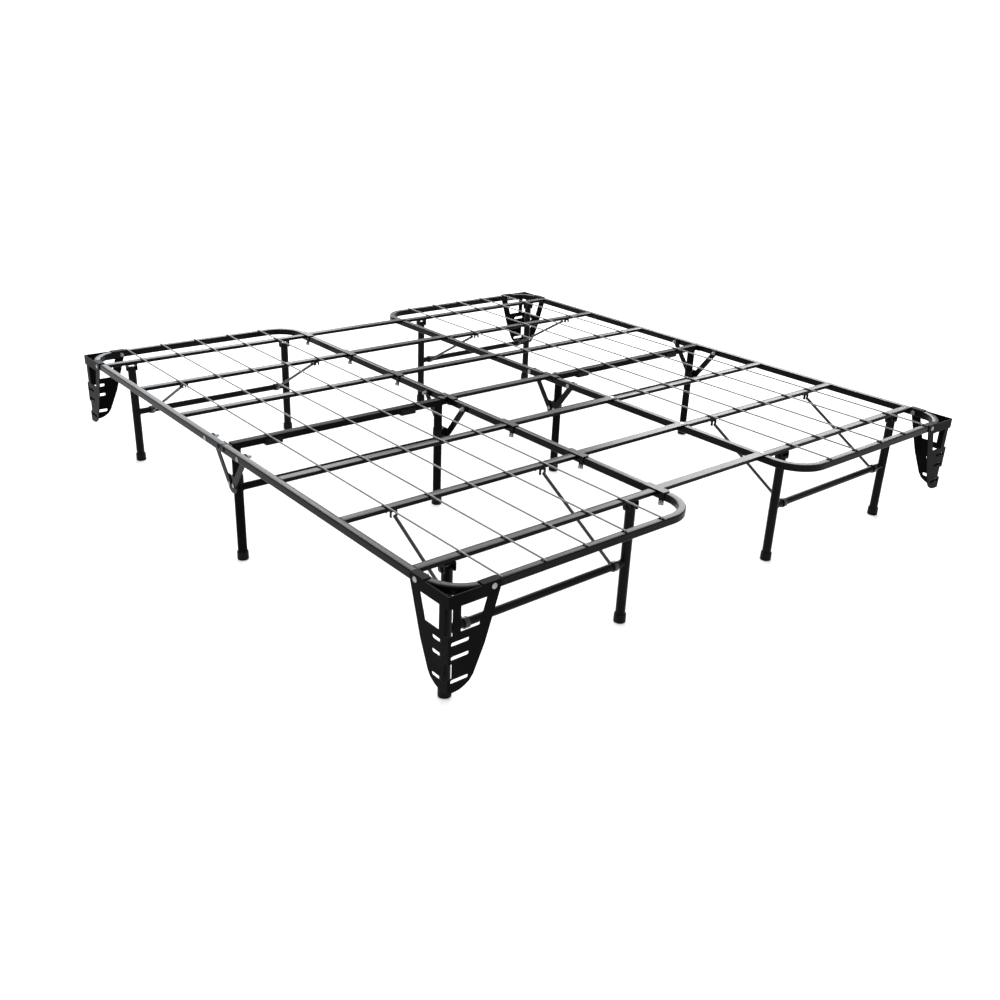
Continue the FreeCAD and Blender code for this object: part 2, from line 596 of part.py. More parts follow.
# ---- one half of the deck ----
def deck_half(tag, sy):
    """Writes every node of the foot (sy = -1) or head (sy = +1) half of the deck."""
    rail = end(u_rail(), sy)
    export(tag + "_rail_left", [side(rail, -1)])
    export(tag + "_rail_right", [rail])
    bars = [end(cross_bar(y), sy) for y in BAR_Y]
    export(tag + "_cross_bars", [side(bar, sx) for sx in (-1, 1) for bar in bars])
    wires = []
    for sx in (-1, 1):
        for k in WIRES:
            wires.append(end(wire(sx * MODULE_X + k * WIRE_STEP, WIRE_BREAK, WIRE_END), sy))
    export(tag + "_deck_wires", wires)
    corner = end(bracket(), sy)
    export(tag + "_bracket_left", [side(corner, -1)])
    export(tag + "_bracket_right", [corner])
    export(tag + "_bracket_bolts", [side(end(b, sy), sx) for sx in (-1, 1) for b in bracket_bolts()])
    export(tag + "_bracket_nuts", [side(end(b, sy), sx) for sx in (-1, 1) for b in bracket_nuts()])
    export(tag + "_leg_hangers", [side(end(hanger(x), sy), sx) for sx in (-1, 1) for x in END_LEG_X])
    export(tag + "_leg_rivets", [side(end(leg_rivet(x), sy), sx) for sx in (-1, 1) for x in END_LEG_X])
    export(tag + "_rod_clips", [side(end(rod_clip(x), sy), sx) for sx in (-1, 1) for x in ROD_X])
    places = [(sx, face, d) for sx in (-1, 1) for face, d in FOLD_SIDES]
    export(tag + "_link_bolts", [side(link_bolt(face, d, sy), sx) for sx, face, d in places])
    export(tag + "_link_nuts", [side(n, sx) for sx, face, d in places for n in link_nuts(face, d, sy)])
    export(tag + "_fold_links", [side(fold_link(face, d, sy), sx) for sx, face, d in places])
    export(tag + "_link_rivets", [side(link_rivet(face, d, sy), sx) for sx, face, d in places])
    export(tag + "_joining_bars", [joining_bar(sy * y) for y in BAR_Y])
    export(tag + "_joining_knobs", [joining_knob(sy * y) for y in BAR_Y])
    export(tag + "_joining_bolts", [joining_bolt(sy * y) for y in BAR_Y])
    export(tag + "_centre_saddles", [end(centre_saddle(s), sy) for s in (-1, 1)])
    for word, sx in (("left", -1), ("right", 1)):
        export(tag + "_leg_frame_" + word, [side(end(end_frame(), sy), sx)])
        export(tag + "_caps_" + word, [foot_cap(sx * x, sy * END_LEG_Y) for x in END_LEG_X])
        export(tag + "_brace_rods_" + word, [side(end(brace_rod(x), sy), sx) for x in ROD_X])


def middle():
    """Writes every node that stands at the centre fold."""
    frame = fold_frame()
    export("middle_frame_left", [side(frame, -1)])
    export("middle_frame_right", [frame])
    export("middle_caps", [foot_cap(sx * x, 0.0) for sx in (-1, 1) for x in MID_LEG_X])
    places = [(sx, face, d) for sx in (-1, 1) for face, d in FOLD_SIDES]
    export("hinge_plates", [side(hinge_plate(face, d), sx) for sx, face, d in places])
    export("fold_rivets", [side(fold_rivet(face, d, s), sx) for sx, face, d in places for s in (-1, 1)])
    # the saddle blocks sit at the same offsets from the middle of each module, not mirrored
    export("fold_saddles", [fold_saddle(x) for x in SADDLE_X])
    export("centre_joining_bar", [centre_joining_bar()])
    lines = [sx * MODULE_X + k * WIRE_STEP for sx in (-1, 1) for k in WIRES]
    bridges = [wire(x, -WIRE_BRIDGE, WIRE_BRIDGE) for x in lines]
    export("fold_wires", bridges)
    sliders = []
    for sx in (-1, 1):
        for (face, d), leg_x in zip(FOLD_SIDES, MID_LEG_X):
            sliders.append(side(link_slider(face, d, leg_x), sx))
    export("link_sliders", sliders)


deck_half("foot", -1)
deck_half("head", 1)
middle()
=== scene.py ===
"""Folding metal bed frame: the finished look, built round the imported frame."""
import json
import math
import random

import bmesh
import bpy
from mathutils import Matrix, Vector


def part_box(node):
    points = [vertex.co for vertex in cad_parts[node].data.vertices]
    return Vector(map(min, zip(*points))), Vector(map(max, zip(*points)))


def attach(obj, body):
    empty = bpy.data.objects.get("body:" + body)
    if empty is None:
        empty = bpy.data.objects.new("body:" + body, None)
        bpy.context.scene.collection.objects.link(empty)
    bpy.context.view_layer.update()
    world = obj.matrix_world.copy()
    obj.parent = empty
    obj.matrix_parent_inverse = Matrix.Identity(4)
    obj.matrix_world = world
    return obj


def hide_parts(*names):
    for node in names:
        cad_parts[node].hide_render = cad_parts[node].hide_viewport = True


bl_info = {
    "name": "Folding Bed Frame",
    "version": (1, 0, 0),
    "blender": (4, 5, 0),
    "location": "View3D > Sidebar > Bed Frame",
    "description": "Builds the tubes, wires, fittings and finishes of a folding metal bed frame",
    "category": "Object",
}

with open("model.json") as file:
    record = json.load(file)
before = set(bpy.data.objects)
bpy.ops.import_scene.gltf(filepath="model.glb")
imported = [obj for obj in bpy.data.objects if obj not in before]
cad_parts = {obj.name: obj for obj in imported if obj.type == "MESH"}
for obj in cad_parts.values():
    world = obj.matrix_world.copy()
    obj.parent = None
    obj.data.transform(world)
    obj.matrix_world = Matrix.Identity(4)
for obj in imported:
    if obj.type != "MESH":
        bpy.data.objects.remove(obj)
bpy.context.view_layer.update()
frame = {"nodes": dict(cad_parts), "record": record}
NODES = frame["nodes"]
MM = 0.001
ENDS = (("foot", -1), ("head", 1))
SIDES = (("left", -1), ("right", 1))

UP = Vector((0, 0, 1))

# Levels and faces of the frame, in metres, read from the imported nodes.
DECK_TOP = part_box("head_rail_right")[1].z
RAIL_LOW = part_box("head_rail_right")[0].z
OUTER_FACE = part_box("head_rail_right")[1].x
INNER_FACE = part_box("head_rail_right")[0].x
END_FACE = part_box("head_rail_right")[1].y
RAIL = DECK_TOP - RAIL_LOW
BAR_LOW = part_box("head_cross_bars")[0].z

# Dimensions that the frame was drawn with.
BARS = (0.288, 0.576, 0.864)
BAR_WIDE = 25 * MM
FOLD_Y = 16 * MM
FOLD_Z = 341 * MM
NOSE = 15.9 * MM
BEND = 90 * MM
MODULE = 583 * MM
WIRE_STEP = 123 * MM
WIRE_BREAK = 33 * MM            # where the long wires stop on each side of the fold
WIRE_BRIDGE = 27 * MM           # half the length of the short wires on the fold bar
WIRE_END = 1002 * MM
LEG_Y = 866 * MM
LEG_PIVOT = 323 * MM
LEG_RADIUS = 13 * MM
LEG_LOW = 4 * MM
LEG_TOP = 327 * MM
END_LEGS = (304 * MM, 865 * MM)
MIDDLE_LEGS = (251 * MM, 922 * MM)
CROSS_RADIUS = 10 * MM
END_CROSS = 171 * MM            # height of the tube between two end legs
MIDDLE_CROSS = 216 * MM         # height of the tube between two middle legs
FOLD_BAR_LOW = 331 * MM
FOLD_BAR_STOP = 9.3 * MM        # from a rail to the full section of the fold bar
FOLD_BAR_TIP = 2.8 * MM         # from a rail to the narrow tip of the fold bar
RAIL_WALL = 1.5 * MM
BOLT_LEVEL = 339 * MM
LINK_BOLT_Y = 95 * MM
LINK_SHANK = 39 * MM
BRACKET_SHANK = 32 * MM
BRACKET_PLATE = 2.5 * MM
BRACKET_BOLT = 116 * MM - BRACKET_PLATE     # from an outer face to the bracket's bolt
HANGER_FACE = 15.6 * MM         # from a leg's middle line to the outside of its hanger
HEAD_RADIUS = 7 * MM
HEAD_HEIGHT = 2.7 * MM
SHANK_RADIUS = 3.97 * MM
# The rails' faces towards the bars, each with the way from the rail to the bars.
RAIL_FACES = ((INNER_FACE + RAIL, 1), (OUTER_FACE - RAIL, -1))
NUT_FLATS = 12 * MM
NUT_HEIGHT = 6 * MM
WASHER_BORE = 4 * MM
WASHER_THICK = 2.8 * MM


# ---------------------------------------------------------------- materials
class Value:
    """A shader socket that can stand in an arithmetic expression."""

    def __init__(self, graph, socket):
        self.graph = graph
        self.socket = socket

    def _math(self, operation, first, second):
        node = self.graph.node("ShaderNodeMath", {"operation": operation}, {0: first, 1: second})
        return Value(self.graph, node.outputs[0])

    def __add__(self, other):
        return self._math("ADD", self, other)

    def __radd__(self, other):
        return self._math("ADD", other, self)

    def __sub__(self, other):
        return self._math("SUBTRACT", self, other)

    def __rsub__(self, other):
        return self._math("SUBTRACT", other, self)

    def __mul__(self, other):
        return self._math("MULTIPLY", self, other)

    def __rmul__(self, other):
        return self._math("MULTIPLY", other, self)

class Graph:
    """The node tree of one material."""

    def __init__(self, name):
        self.material = bpy.data.materials.new(name)
        self.material.use_nodes = True
        self.tree = self.material.node_tree
        self.shader = self.tree.nodes["Principled BSDF"]
        self.place = self.node("ShaderNodeTexCoord").outputs["Object"]

    def node(self, kind, settings=None, values=None):
        """Adds a node, sets its own settings, then fills its sockets with numbers or links."""
        node = self.tree.nodes.new(kind)
        for key, setting in (settings or {}).items():
            if key == "stops":
                ramp = node.color_ramp.elements
                for element, (position, level) in zip(ramp, setting):
                    element.position = position
                    element.color = (level, level, level, 1)
            else:
                setattr(node, key, setting)
        for key, value in (values or {}).items():
            self.feed(node.inputs[key], value)
        return node

    def feed(self, socket, value):
        """Links a socket to a Value or another socket, or sets it to a number or colour."""
        if isinstance(value, Value):
            value = value.socket
        if isinstance(value, bpy.types.NodeSocket):
            self.tree.links.new(value, socket)
        else:
            socket.default_value = value

    def noise(self, scale, detail=3.0, rough=0.5, stretch=None):
        """Noise fixed to the piece, from 0 to 1."""
        place = self.place
        if stretch:
            place = self.node("ShaderNodeMapping", None, {"Vector": place, "Scale": stretch}).outputs[0]
        values = {"Vector": place, "Scale": scale, "Detail": detail, "Roughness": rough}
        return Value(self, self.node("ShaderNodeTexNoise", None, values).outputs["Fac"])

    def ramp(self, value, low, high):
        """0 below low, 1 above high."""
        stops = ((low, 0.0), (high, 1.0))
        node = self.node("ShaderNodeValToRGB", {"stops": stops}, {"Fac": value})
        return Value(self, node.outputs["Color"])

    def blend(self, factor, first, second):
        """One colour fading into another."""
        settings = {"data_type": "RGBA"}
        node = self.node("ShaderNodeMix", settings, {"Factor": factor, 6: (*first, 1), 7: (*second, 1)})
        return node.outputs[2]

    def bump(self, height, strength, distance):
        """A normal tipped by a height."""
        values = {"Height": height, "Strength": strength, "Distance": distance}
        return self.node("ShaderNodeBump", None, values).outputs["Normal"]

    def finish(self, **sockets):
        """Sets the shader's sockets; a socket's name is written with underscores."""
        for name, value in sockets.items():
            self.feed(self.shader.inputs[name.replace("_", " ")], value)
        return self.material


def gloss_paint(name, colour, dust, rough, ior):
    """Baked powder coat: faint orange peel, thin dust, uneven gloss and a few rubbed spots."""
    g = Graph(name)
    cloud = g.noise(7.0, 4.0, 0.6)
    peel = g.noise(520.0, 2.0, 0.5)
    rub = g.ramp(g.noise(46.0, 6.0, 0.65), 0.60, 0.72)
    speck = g.ramp(g.noise(900.0, 1.0, 0.5), 0.70, 0.80)
    film = g.ramp(cloud, 0.38, 0.72) * 0.55 + rub * 0.25 + speck * 0.3
    return g.finish(
        Base_Color=g.blend(film, colour, dust),
        Roughness=cloud * 0.10 + rub * 0.07 + (rough - 0.05),
        Normal=g.bump(peel, 0.10, 0.0004),
        IOR=ior,
    )


def bright_metal(name, colour, dull, rough):
    """Zinc plate: cloudy bright grey with fine tool lines."""
    g = Graph(name)
    cloud = g.noise(60.0, 4.0, 0.6)
    lines = g.noise(300.0, 3.0, 0.6, (1.0, 1.0, 9.0))
    return g.finish(
        Base_Color=g.blend(g.ramp(cloud, 0.35, 0.7), colour, dull),
        Roughness=cloud * 0.16 + lines * 0.08 + (rough - 0.1),
        Normal=g.bump(lines, 0.12, 0.0002),
        Metallic=1.0,
    )


def moulded_plastic(name, colour, worn):
    """Black moulded plastic with a fine spark-eroded grain and upright scuffs scattered all over it."""
    g = Graph(name)
    grain = g.noise(1400.0, 2.0, 0.6)
    scuff = g.ramp(g.noise(120.0, 5.0, 0.7, (1.0, 1.0, 0.35)), 0.56, 0.72)
    return g.finish(
        Base_Color=g.blend(scuff * 0.7, colour, worn),
        Roughness=grain * 0.12 + scuff * 0.15 + 0.38,
        Normal=g.bump(grain, 0.25, 0.0003),
        IOR=1.15,
    )


# ---------------------------------------------------------------- mesh helpers
class Shape:
    """A mesh being made."""

    def __init__(self):
        self.bm = bmesh.new()

    def rings(self, rings, caps=(True, True)):
        """Skins a row of closed rings with as many points each, with a cap on each end if asked."""
        rows = [[self.bm.verts.new(p) for p in ring] for ring in rings]
        count = len(rows[0])
        for a, b in zip(rows, rows[1:]):
            for i in range(count):
                j = (i + 1) % count
                self.bm.faces.new((a[i], a[j], b[j], b[i]))
        if caps[0]:
            self.bm.faces.new(list(reversed(rows[0])))
        if caps[1]:
            self.bm.faces.new(rows[-1])

    def sweep(self, path, profile, caps=(True, True)):
        """Carries a profile of (side, up) offsets along a path."""
        rings = []
        for i, point in enumerate(path):
            ahead = path[min(i + 1, len(path) - 1)] - path[max(i - 1, 0)]
            tangent = ahead.normalized()
            across = tangent.cross(UP).normalized()
            lift = across.cross(tangent).normalized()
            stretch = 1.0
            if 0 < i < len(path) - 1:
                turn = (path[i + 1] - point).normalized().angle((point - path[i - 1]).normalized())
                stretch = 1 / math.cos(turn / 2)
            rings.append([point + across * a * stretch + lift * b for a, b in profile])
        self.rings(rings, caps=caps)

    def lathe(self, outline, origin, axis, steps=40):
        """Turns an outline of (radius, height) round an axis; a zero radius closes the end."""
        turn = UP.rotation_difference(Vector(axis)).to_matrix()
        rings = []
        for radius, height in outline:
            radius = max(radius, 1e-6)
            ring = []
            for k in range(steps):
                a = 2 * math.pi * k / steps
                spot = Vector((radius * math.cos(a), radius * math.sin(a), height))
                ring.append(Vector(origin) + turn @ spot)
            rings.append(ring)
        self.rings(rings)

    def bead(self, path, radius, rng):
        """A weld bead: overlapping ripples along a short path."""
        outline = []
        for i, point in enumerate(path):
            ripple = 1 + 0.22 * math.sin(i * 2.1) + rng.uniform(-0.08, 0.08)
            taper = 0.45 if i in (0, len(path) - 1) else 1.0
            outline.append((point, radius * ripple * taper))
        rings = []
        for i, (point, size) in enumerate(outline):
            ahead = (path[min(i + 1, len(path) - 1)] - path[max(i - 1, 0)]).normalized()
            side = ahead.orthogonal().normalized()
            other = ahead.cross(side)
            rings.append([point + side * size * math.cos(a) + other * size * math.sin(a)
                          for a in (2 * math.pi * k / 8 for k in range(8))])
        self.rings(rings)

    def piece(self, name, body, material, replaced=(), bevel=0.0, smooth=35.0):
        """Turns the mesh into a finished piece that rides on a body."""
        bmesh.ops.remove_doubles(self.bm, verts=self.bm.verts, dist=1e-7)
        bmesh.ops.recalc_face_normals(self.bm, faces=self.bm.faces)
        mesh = bpy.data.meshes.new(name)
        self.bm.to_mesh(mesh)
        self.bm.free()
        piece = bpy.data.objects.new(name, mesh)
        bpy.context.scene.collection.objects.link(piece)
        mesh.materials.append(material)
        if bevel:
            rounding = piece.modifiers.new("rounding", "BEVEL")
            rounding.width = bevel
            rounding.segments = 2
            rounding.limit_method = "ANGLE"
            rounding.angle_limit = math.radians(40)
        mesh.shade_smooth()
        mesh.set_sharp_from_angle(angle=math.radians(smooth))
        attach(piece, body)
        if replaced:
            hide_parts(*replaced)
        return piece


def softened(node, body, material, width):
    """A copy of a fitting with its cut edges rounded, standing in for the sharp-edged one."""
    shape = Shape()
    shape.bm.from_mesh(NODES[node].data)
    bmesh.ops.remove_doubles(shape.bm, verts=shape.bm.verts, dist=1e-6)
    flat = math.radians(1.0)
    bmesh.ops.dissolve_limit(shape.bm, angle_limit=flat, verts=shape.bm.verts, edges=shape.bm.edges)
    return shape.piece(node + "_soft", body, material, (node,), width)


def round_rect(width, height, radius, steps=4):
    """The outline of a tube section as (side, up) offsets, corner by corner."""
    points = []
    for cx, cy, start in ((1, 1, 0), (-1, 1, 90), (-1, -1, 180), (1, -1, 270)):
        for k in range(steps + 1):
            a = math.radians(start + 90 * k / steps)
            points.append((cx * (width / 2 - radius) + radius * math.cos(a),
                           cy * (height / 2 - radius) + radius * math.sin(a)))
    return points


def line(start, stop, steps):
    """Points evenly spaced between two points."""
    start, stop = Vector(start), Vector(stop)
    return [start.lerp(stop, k / steps) for k in range(steps + 1)]


def owner(node):
    """The body a node belongs to."""
    for body, nodes in frame["record"]["behaviour"]["bodies"].items():
        if node in nodes:
            return body
    raise ValueError(node)


MATERIALS = {}


def finishes():
    """The finishes, made once."""
    if not MATERIALS:
        look = bpy.context.scene.bed_frame_look
        base, film, gloss = look.paint, look.dust, look.gloss
        MATERIALS["paint"] = gloss_paint("black_powder_coat", base, film, gloss, look.paint_ior)
        MATERIALS["rod"] = gloss_paint("black_rod_enamel", base, film, gloss - 0.06, look.rod_ior)
        MATERIALS["wire"] = bright_metal("drawn_wire", look.wire, look.wire_dull, 0.42)
        MATERIALS["zinc"] = bright_metal("zinc_plate", look.zinc, look.zinc_dull, 0.32)
        MATERIALS["plate"] = gloss_paint("black_plate_coat", base, film, gloss + 0.08, look.plate_ior)
        MATERIALS["plastic"] = moulded_plastic("black_plastic", look.plastic, look.plastic_worn)
    return MATERIALS


# ---------------------------------------------------------------- properties
class BED_PG_look(bpy.types.PropertyGroup):
    """Colours and gloss."""

    paint: bpy.props.FloatVectorProperty(
        name="Paint", description="Powder coat of tubes and plates", subtype="COLOR", size=3,
        default=(0.002, 0.002, 0.0022), min=0, max=1)
    dust: bpy.props.FloatVectorProperty(
        name="Paint film", description="Lighter film on the powder coat", subtype="COLOR", size=3,
        default=(0.006, 0.006, 0.0065), min=0, max=1)
    gloss: bpy.props.FloatProperty(
        name="Paint roughness", description="Roughness of the powder coat",
        default=0.24, min=0, max=1)
    paint_ior: bpy.props.FloatProperty(
        name="Paint IOR", description="Strength of the clear gloss", default=1.13, min=1, max=2)
    plate_ior: bpy.props.FloatProperty(
        name="Plate IOR", description="Strength of the gloss on the brackets and the middle legs",
        default=1.06, min=1, max=2)
    rod_ior: bpy.props.FloatProperty(
        name="Rod IOR", description="Strength of the gloss on the brace rods", default=1.4, min=1, max=2)
    wire: bpy.props.FloatVectorProperty(
        name="Wire", description="Deck wires", subtype="COLOR", size=3,
        default=(0.17, 0.165, 0.165), min=0, max=1)
    wire_dull: bpy.props.FloatVectorProperty(
        name="Wire, dull", description="Dull patches of the deck wires", subtype="COLOR", size=3,
        default=(0.12, 0.118, 0.12), min=0, max=1)
    zinc: bpy.props.FloatVectorProperty(
        name="Zinc", description="Bolts, nuts, knobs and link rivets", subtype="COLOR", size=3,
        default=(0.27, 0.28, 0.30), min=0, max=1)
    zinc_dull: bpy.props.FloatVectorProperty(
        name="Zinc, dull", description="Dull patches of the zinc", subtype="COLOR", size=3,
        default=(0.13, 0.137, 0.15), min=0, max=1)
    plastic: bpy.props.FloatVectorProperty(
        name="Plastic", description="Foot caps and saddles", subtype="COLOR", size=3,
        default=(0.003, 0.003, 0.003), min=0, max=1)
    plastic_worn: bpy.props.FloatVectorProperty(
        name="Plastic, scuffed", description="Scuffed plastic", subtype="COLOR", size=3,
        default=(0.010, 0.010, 0.010), min=0, max=1)


class BED_PG_sizes(bpy.types.PropertyGroup):
    """Sizes that the looks add to the frame."""

    rail_corner: bpy.props.FloatProperty(
        name="Rail corner", description="Outside corner radius of the square tube", default=2.6 * MM,
        unit="LENGTH", min=0.0005, max=0.006)
    bar_corner: bpy.props.FloatProperty(
        name="Bar corner", description="Corner radius of the flat bars", default=2.0 * MM,
        unit="LENGTH", min=0.0005, max=0.0045)
    wire_radius: bpy.props.FloatProperty(
        name="Wire radius", description="Radius of the deck wires", default=2.25 * MM,
        unit="LENGTH", min=0.001, max=0.00225)
    bead_radius: bpy.props.FloatProperty(
        name="Weld bead", description="Half thickness of the weld beads", default=1.5 * MM,
        unit="LENGTH", min=0.0005, max=0.003)
    edge: bpy.props.FloatProperty(
        name="Plate edge", description="Rounding of cut plate edges", default=0.5 * MM,
        unit="LENGTH", min=0.0001, max=0.001)


class BED_PG_stage(bpy.types.PropertyGroup):
    """Camera and light."""

    camera_place: bpy.props.FloatVectorProperty(
        name="Camera place", description="Where the camera stands", subtype="TRANSLATION", unit="LENGTH",
        size=3, default=(-2.0487, -2.4155, 1.343))
    heading: bpy.props.FloatProperty(
        name="Heading", description="Turn of the view from +Y towards +X", unit="ROTATION",
        default=math.radians(40.5))
    tilt: bpy.props.FloatProperty(
        name="Tilt", description="How far the view looks down", unit="ROTATION", default=math.radians(23.755))
    roll: bpy.props.FloatProperty(
        name="Roll", description="Turn of the camera about its view", unit="ROTATION",
        default=math.radians(2.47))
    lens: bpy.props.FloatProperty(
        name="Lens", description="Focal length on a 36 mm sensor, in millimetres",
        default=37.134, min=10, max=200)
    floor: bpy.props.FloatVectorProperty(
        name="Floor", description="Colour of the floor", subtype="COLOR", size=3, default=(0.94, 0.94, 0.94),
        min=0, max=1)
    sky: bpy.props.FloatProperty(
        name="Fill", description="Strength of the even light from all round", default=1.35, min=0, max=5)


# ---------------------------------------------------------------- pieces
def rail_path(end, side):
    """The middle line of a bent rail in plan, from the outer rail round to the inner one."""
    half, step = RAIL / 2, 0.02
    x_out, x_in, y_end = OUTER_FACE - half, INNER_FACE + half, END_FACE - half
    plan = [(x_out, 0.0), (x_out, step), (x_out, y_end - BEND - step)]
    steps = 14
    for cx, first in ((x_out - BEND, 0), (x_in + BEND, 90)):
        for k in range(steps + 1):
            a = math.radians(first + 90 * k / steps)
            plan.append((cx + BEND * math.cos(a), y_end - BEND + BEND * math.sin(a)))
        if first == 0:
            plan.append(((x_out + x_in) / 2, y_end))
    plan += [(x_in, y_end - BEND - step), (x_in, step), (x_in, 0.0)]
    return [Vector((side * x, end * y, (DECK_TOP + RAIL_LOW) / 2)) for x, y in plan]


def nose(z):
    """How far from the middle plane a rail stops at a height, so that it can turn on its rivet."""
    rise = max(z - FOLD_Z, 0.0)
    return max(0.5 * MM, FOLD_Y - math.sqrt(NOSE ** 2 - rise ** 2))


def rail_section(corner):
    """The tube section with extra points up its sides for the rounded nose."""
    points = round_rect(RAIL, RAIL, corner)
    dense = []
    for i, (a, b) in enumerate(points):
        dense.append((a, b))
        c, d = points[(i + 1) % len(points)]
        if abs(a - c) < 1e-6 and abs(b - d) > 0.005:
            dense += [(a, b + (d - b) * k / 10) for k in range(1, 10)]
    return dense


class BED_OT_rails(bpy.types.Operator):
    """Builds the four bent square tubes"""

    bl_idname = "bed.rails"
    bl_label = "Rails"

    def execute(self, context):
        sizes = context.scene.bed_frame_sizes
        for end_name, end in ENDS:
            for side_name, side in SIDES:
                shape = Shape()
                profile = rail_section(sizes.rail_corner)
                path = rail_path(end, side)
                shape.sweep(path, profile, caps=(False, False))
                for vert in shape.bm.verts:
                    if abs(vert.co.y) < 1e-5:
                        vert.co.y = end * nose(vert.co.z)
                self.hollow(shape, path)
                node = f"{end_name}_rail_{side_name}"
                shape.piece(node + "_tube", end_name + "_half", finishes()["paint"], (node,))
        return {"FINISHED"}

    def hollow(self, shape, path):
        """Turns each open end in over the wall and a little way down the bore."""
        shape.bm.verts.ensure_lookup_table()
        for x in (path[0].x, path[-1].x):
            rim = [e for e in shape.bm.edges if e.is_boundary and abs(e.verts[0].co.x - x) < RAIL]
            made = bmesh.ops.extrude_edge_only(shape.bm, edges=rim)["geom"]
            inner = [v for v in made if isinstance(v, bmesh.types.BMVert)]
            inner_scale = 1 - 2 * RAIL_WALL / RAIL
            for vert in inner:
                vert.co.x = x + (vert.co.x - x) * inner_scale
                vert.co.z = path[0].z + (vert.co.z - path[0].z) * inner_scale
            edges = [e for e in made if isinstance(e, bmesh.types.BMEdge) and e.is_boundary]
            deep = bmesh.ops.extrude_edge_only(shape.bm, edges=edges)["geom"]
            verts = [v for v in deep if isinstance(v, bmesh.types.BMVert)]
            for vert in verts:
                vert.co.y += math.copysign(0.05, vert.co.y)
            bmesh.ops.contextual_create(shape.bm, geom=[e for e in deep if isinstance(e, bmesh.types.BMEdge)
                                                        and e.is_boundary])


class BED_OT_bars(bpy.types.Operator):
    """Builds the flat cross bars with their weld beads"""

    bl_idname = "bed.bars"
    bl_label = "Cross bars"

    def execute(self, context):
        sizes = context.scene.bed_frame_sizes
        rng = random.Random(11)
        thick = DECK_TOP - BAR_LOW
        z = (DECK_TOP + BAR_LOW) / 2
        profile = round_rect(BAR_WIDE, thick, sizes.bar_corner)
        x0, x1 = INNER_FACE + RAIL, OUTER_FACE - RAIL
        for end_name, end in ENDS:
            bars, beads = Shape(), Shape()
            for _, side in SIDES:
                for y in BARS:
                    bars.sweep([Vector((side * x0, end * y, z)), Vector((side * x1, end * y, z))], profile)
                    for x, inward in ((x0, 1), (x1, -1)):
                        px = side * (x + inward * 0.6 * MM)
                        for s in (-1, 1):
                            py = end * y + s * BAR_WIDE / 2
                            beads.bead(line((px, py, BAR_LOW), (px, py, DECK_TOP - 2 * MM), 6),
                                       sizes.bead_radius, rng)
                        beads.bead(line((px, end * y - BAR_WIDE / 2, BAR_LOW),
                                        (px, end * y + BAR_WIDE / 2, BAR_LOW), 12), sizes.bead_radius, rng)
            body = end_name + "_half"
            paint = finishes()["paint"]
            bars.piece(end_name + "_flat_bars", body, paint, (end_name + "_cross_bars",))
            beads.piece(end_name + "_bar_welds", body, paint, smooth=80)
        return {"FINISHED"}


class BED_OT_wires(bpy.types.Operator):
    """Builds the deck wires with their spot welds"""

    bl_idname = "bed.wires"
    bl_label = "Deck wires"

    def execute(self, context):
        sizes = context.scene.bed_frame_sizes
        radius = sizes.wire_radius
        wire = finishes()["wire"]
        lines = [side * MODULE + k * WIRE_STEP for _, side in SIDES for k in (-2, -1, 0, 1, 2)]
        z = DECK_TOP + radius
        for end_name, end in ENDS:
            shape, spots = Shape(), Shape()
            for x in lines:
                self.wire(shape, x, end * WIRE_BREAK, end * WIRE_END, z, radius)
                for y in (*BARS, END_FACE - RAIL / 2):
                    self.spot(spots, x, end * y, radius)
            body = end_name + "_half"
            shape.piece(end_name + "_wires", body, wire, (end_name + "_deck_wires",), smooth=60)
            spots.piece(end_name + "_wire_spots", body, wire, smooth=80)
        shape = Shape()
        for x in lines:
            self.wire(shape, x, -WIRE_BRIDGE, WIRE_BRIDGE, z, radius)
        shape.piece("fold_bar_wires", "middle_legs", wire, ("fold_wires",), smooth=60)
        return {"FINISHED"}

    def wire(self, shape, x, y0, y1, z, radius):
        """One straight wire with rounded ends."""
        low, high = sorted((y0, y1))
        outline = [(0, -radius), (radius * 0.7, -radius * 0.7), (radius, 0)]
        outline += [(radius, (high - low) * k / 8) for k in range(1, 9)]
        outline += [(radius * 0.7, high - low + radius * 0.7), (0, high - low + radius)]
        shape.lathe(outline, (x, low, z), (0, 1, 0), 16)

    def spot(self, shape, x, y, radius):
        """A small nugget where a wire is welded to a bar."""
        for s in (-1, 1):
            px = x + s * radius * 0.75
            shape.lathe([(0, 0.0), (1.6 * MM, 0.2 * MM), (1.1 * MM, 1.4 * MM), (0, 1.9 * MM)],
                        (px, y, DECK_TOP - 0.1 * MM), (0, 0, 1), 10)


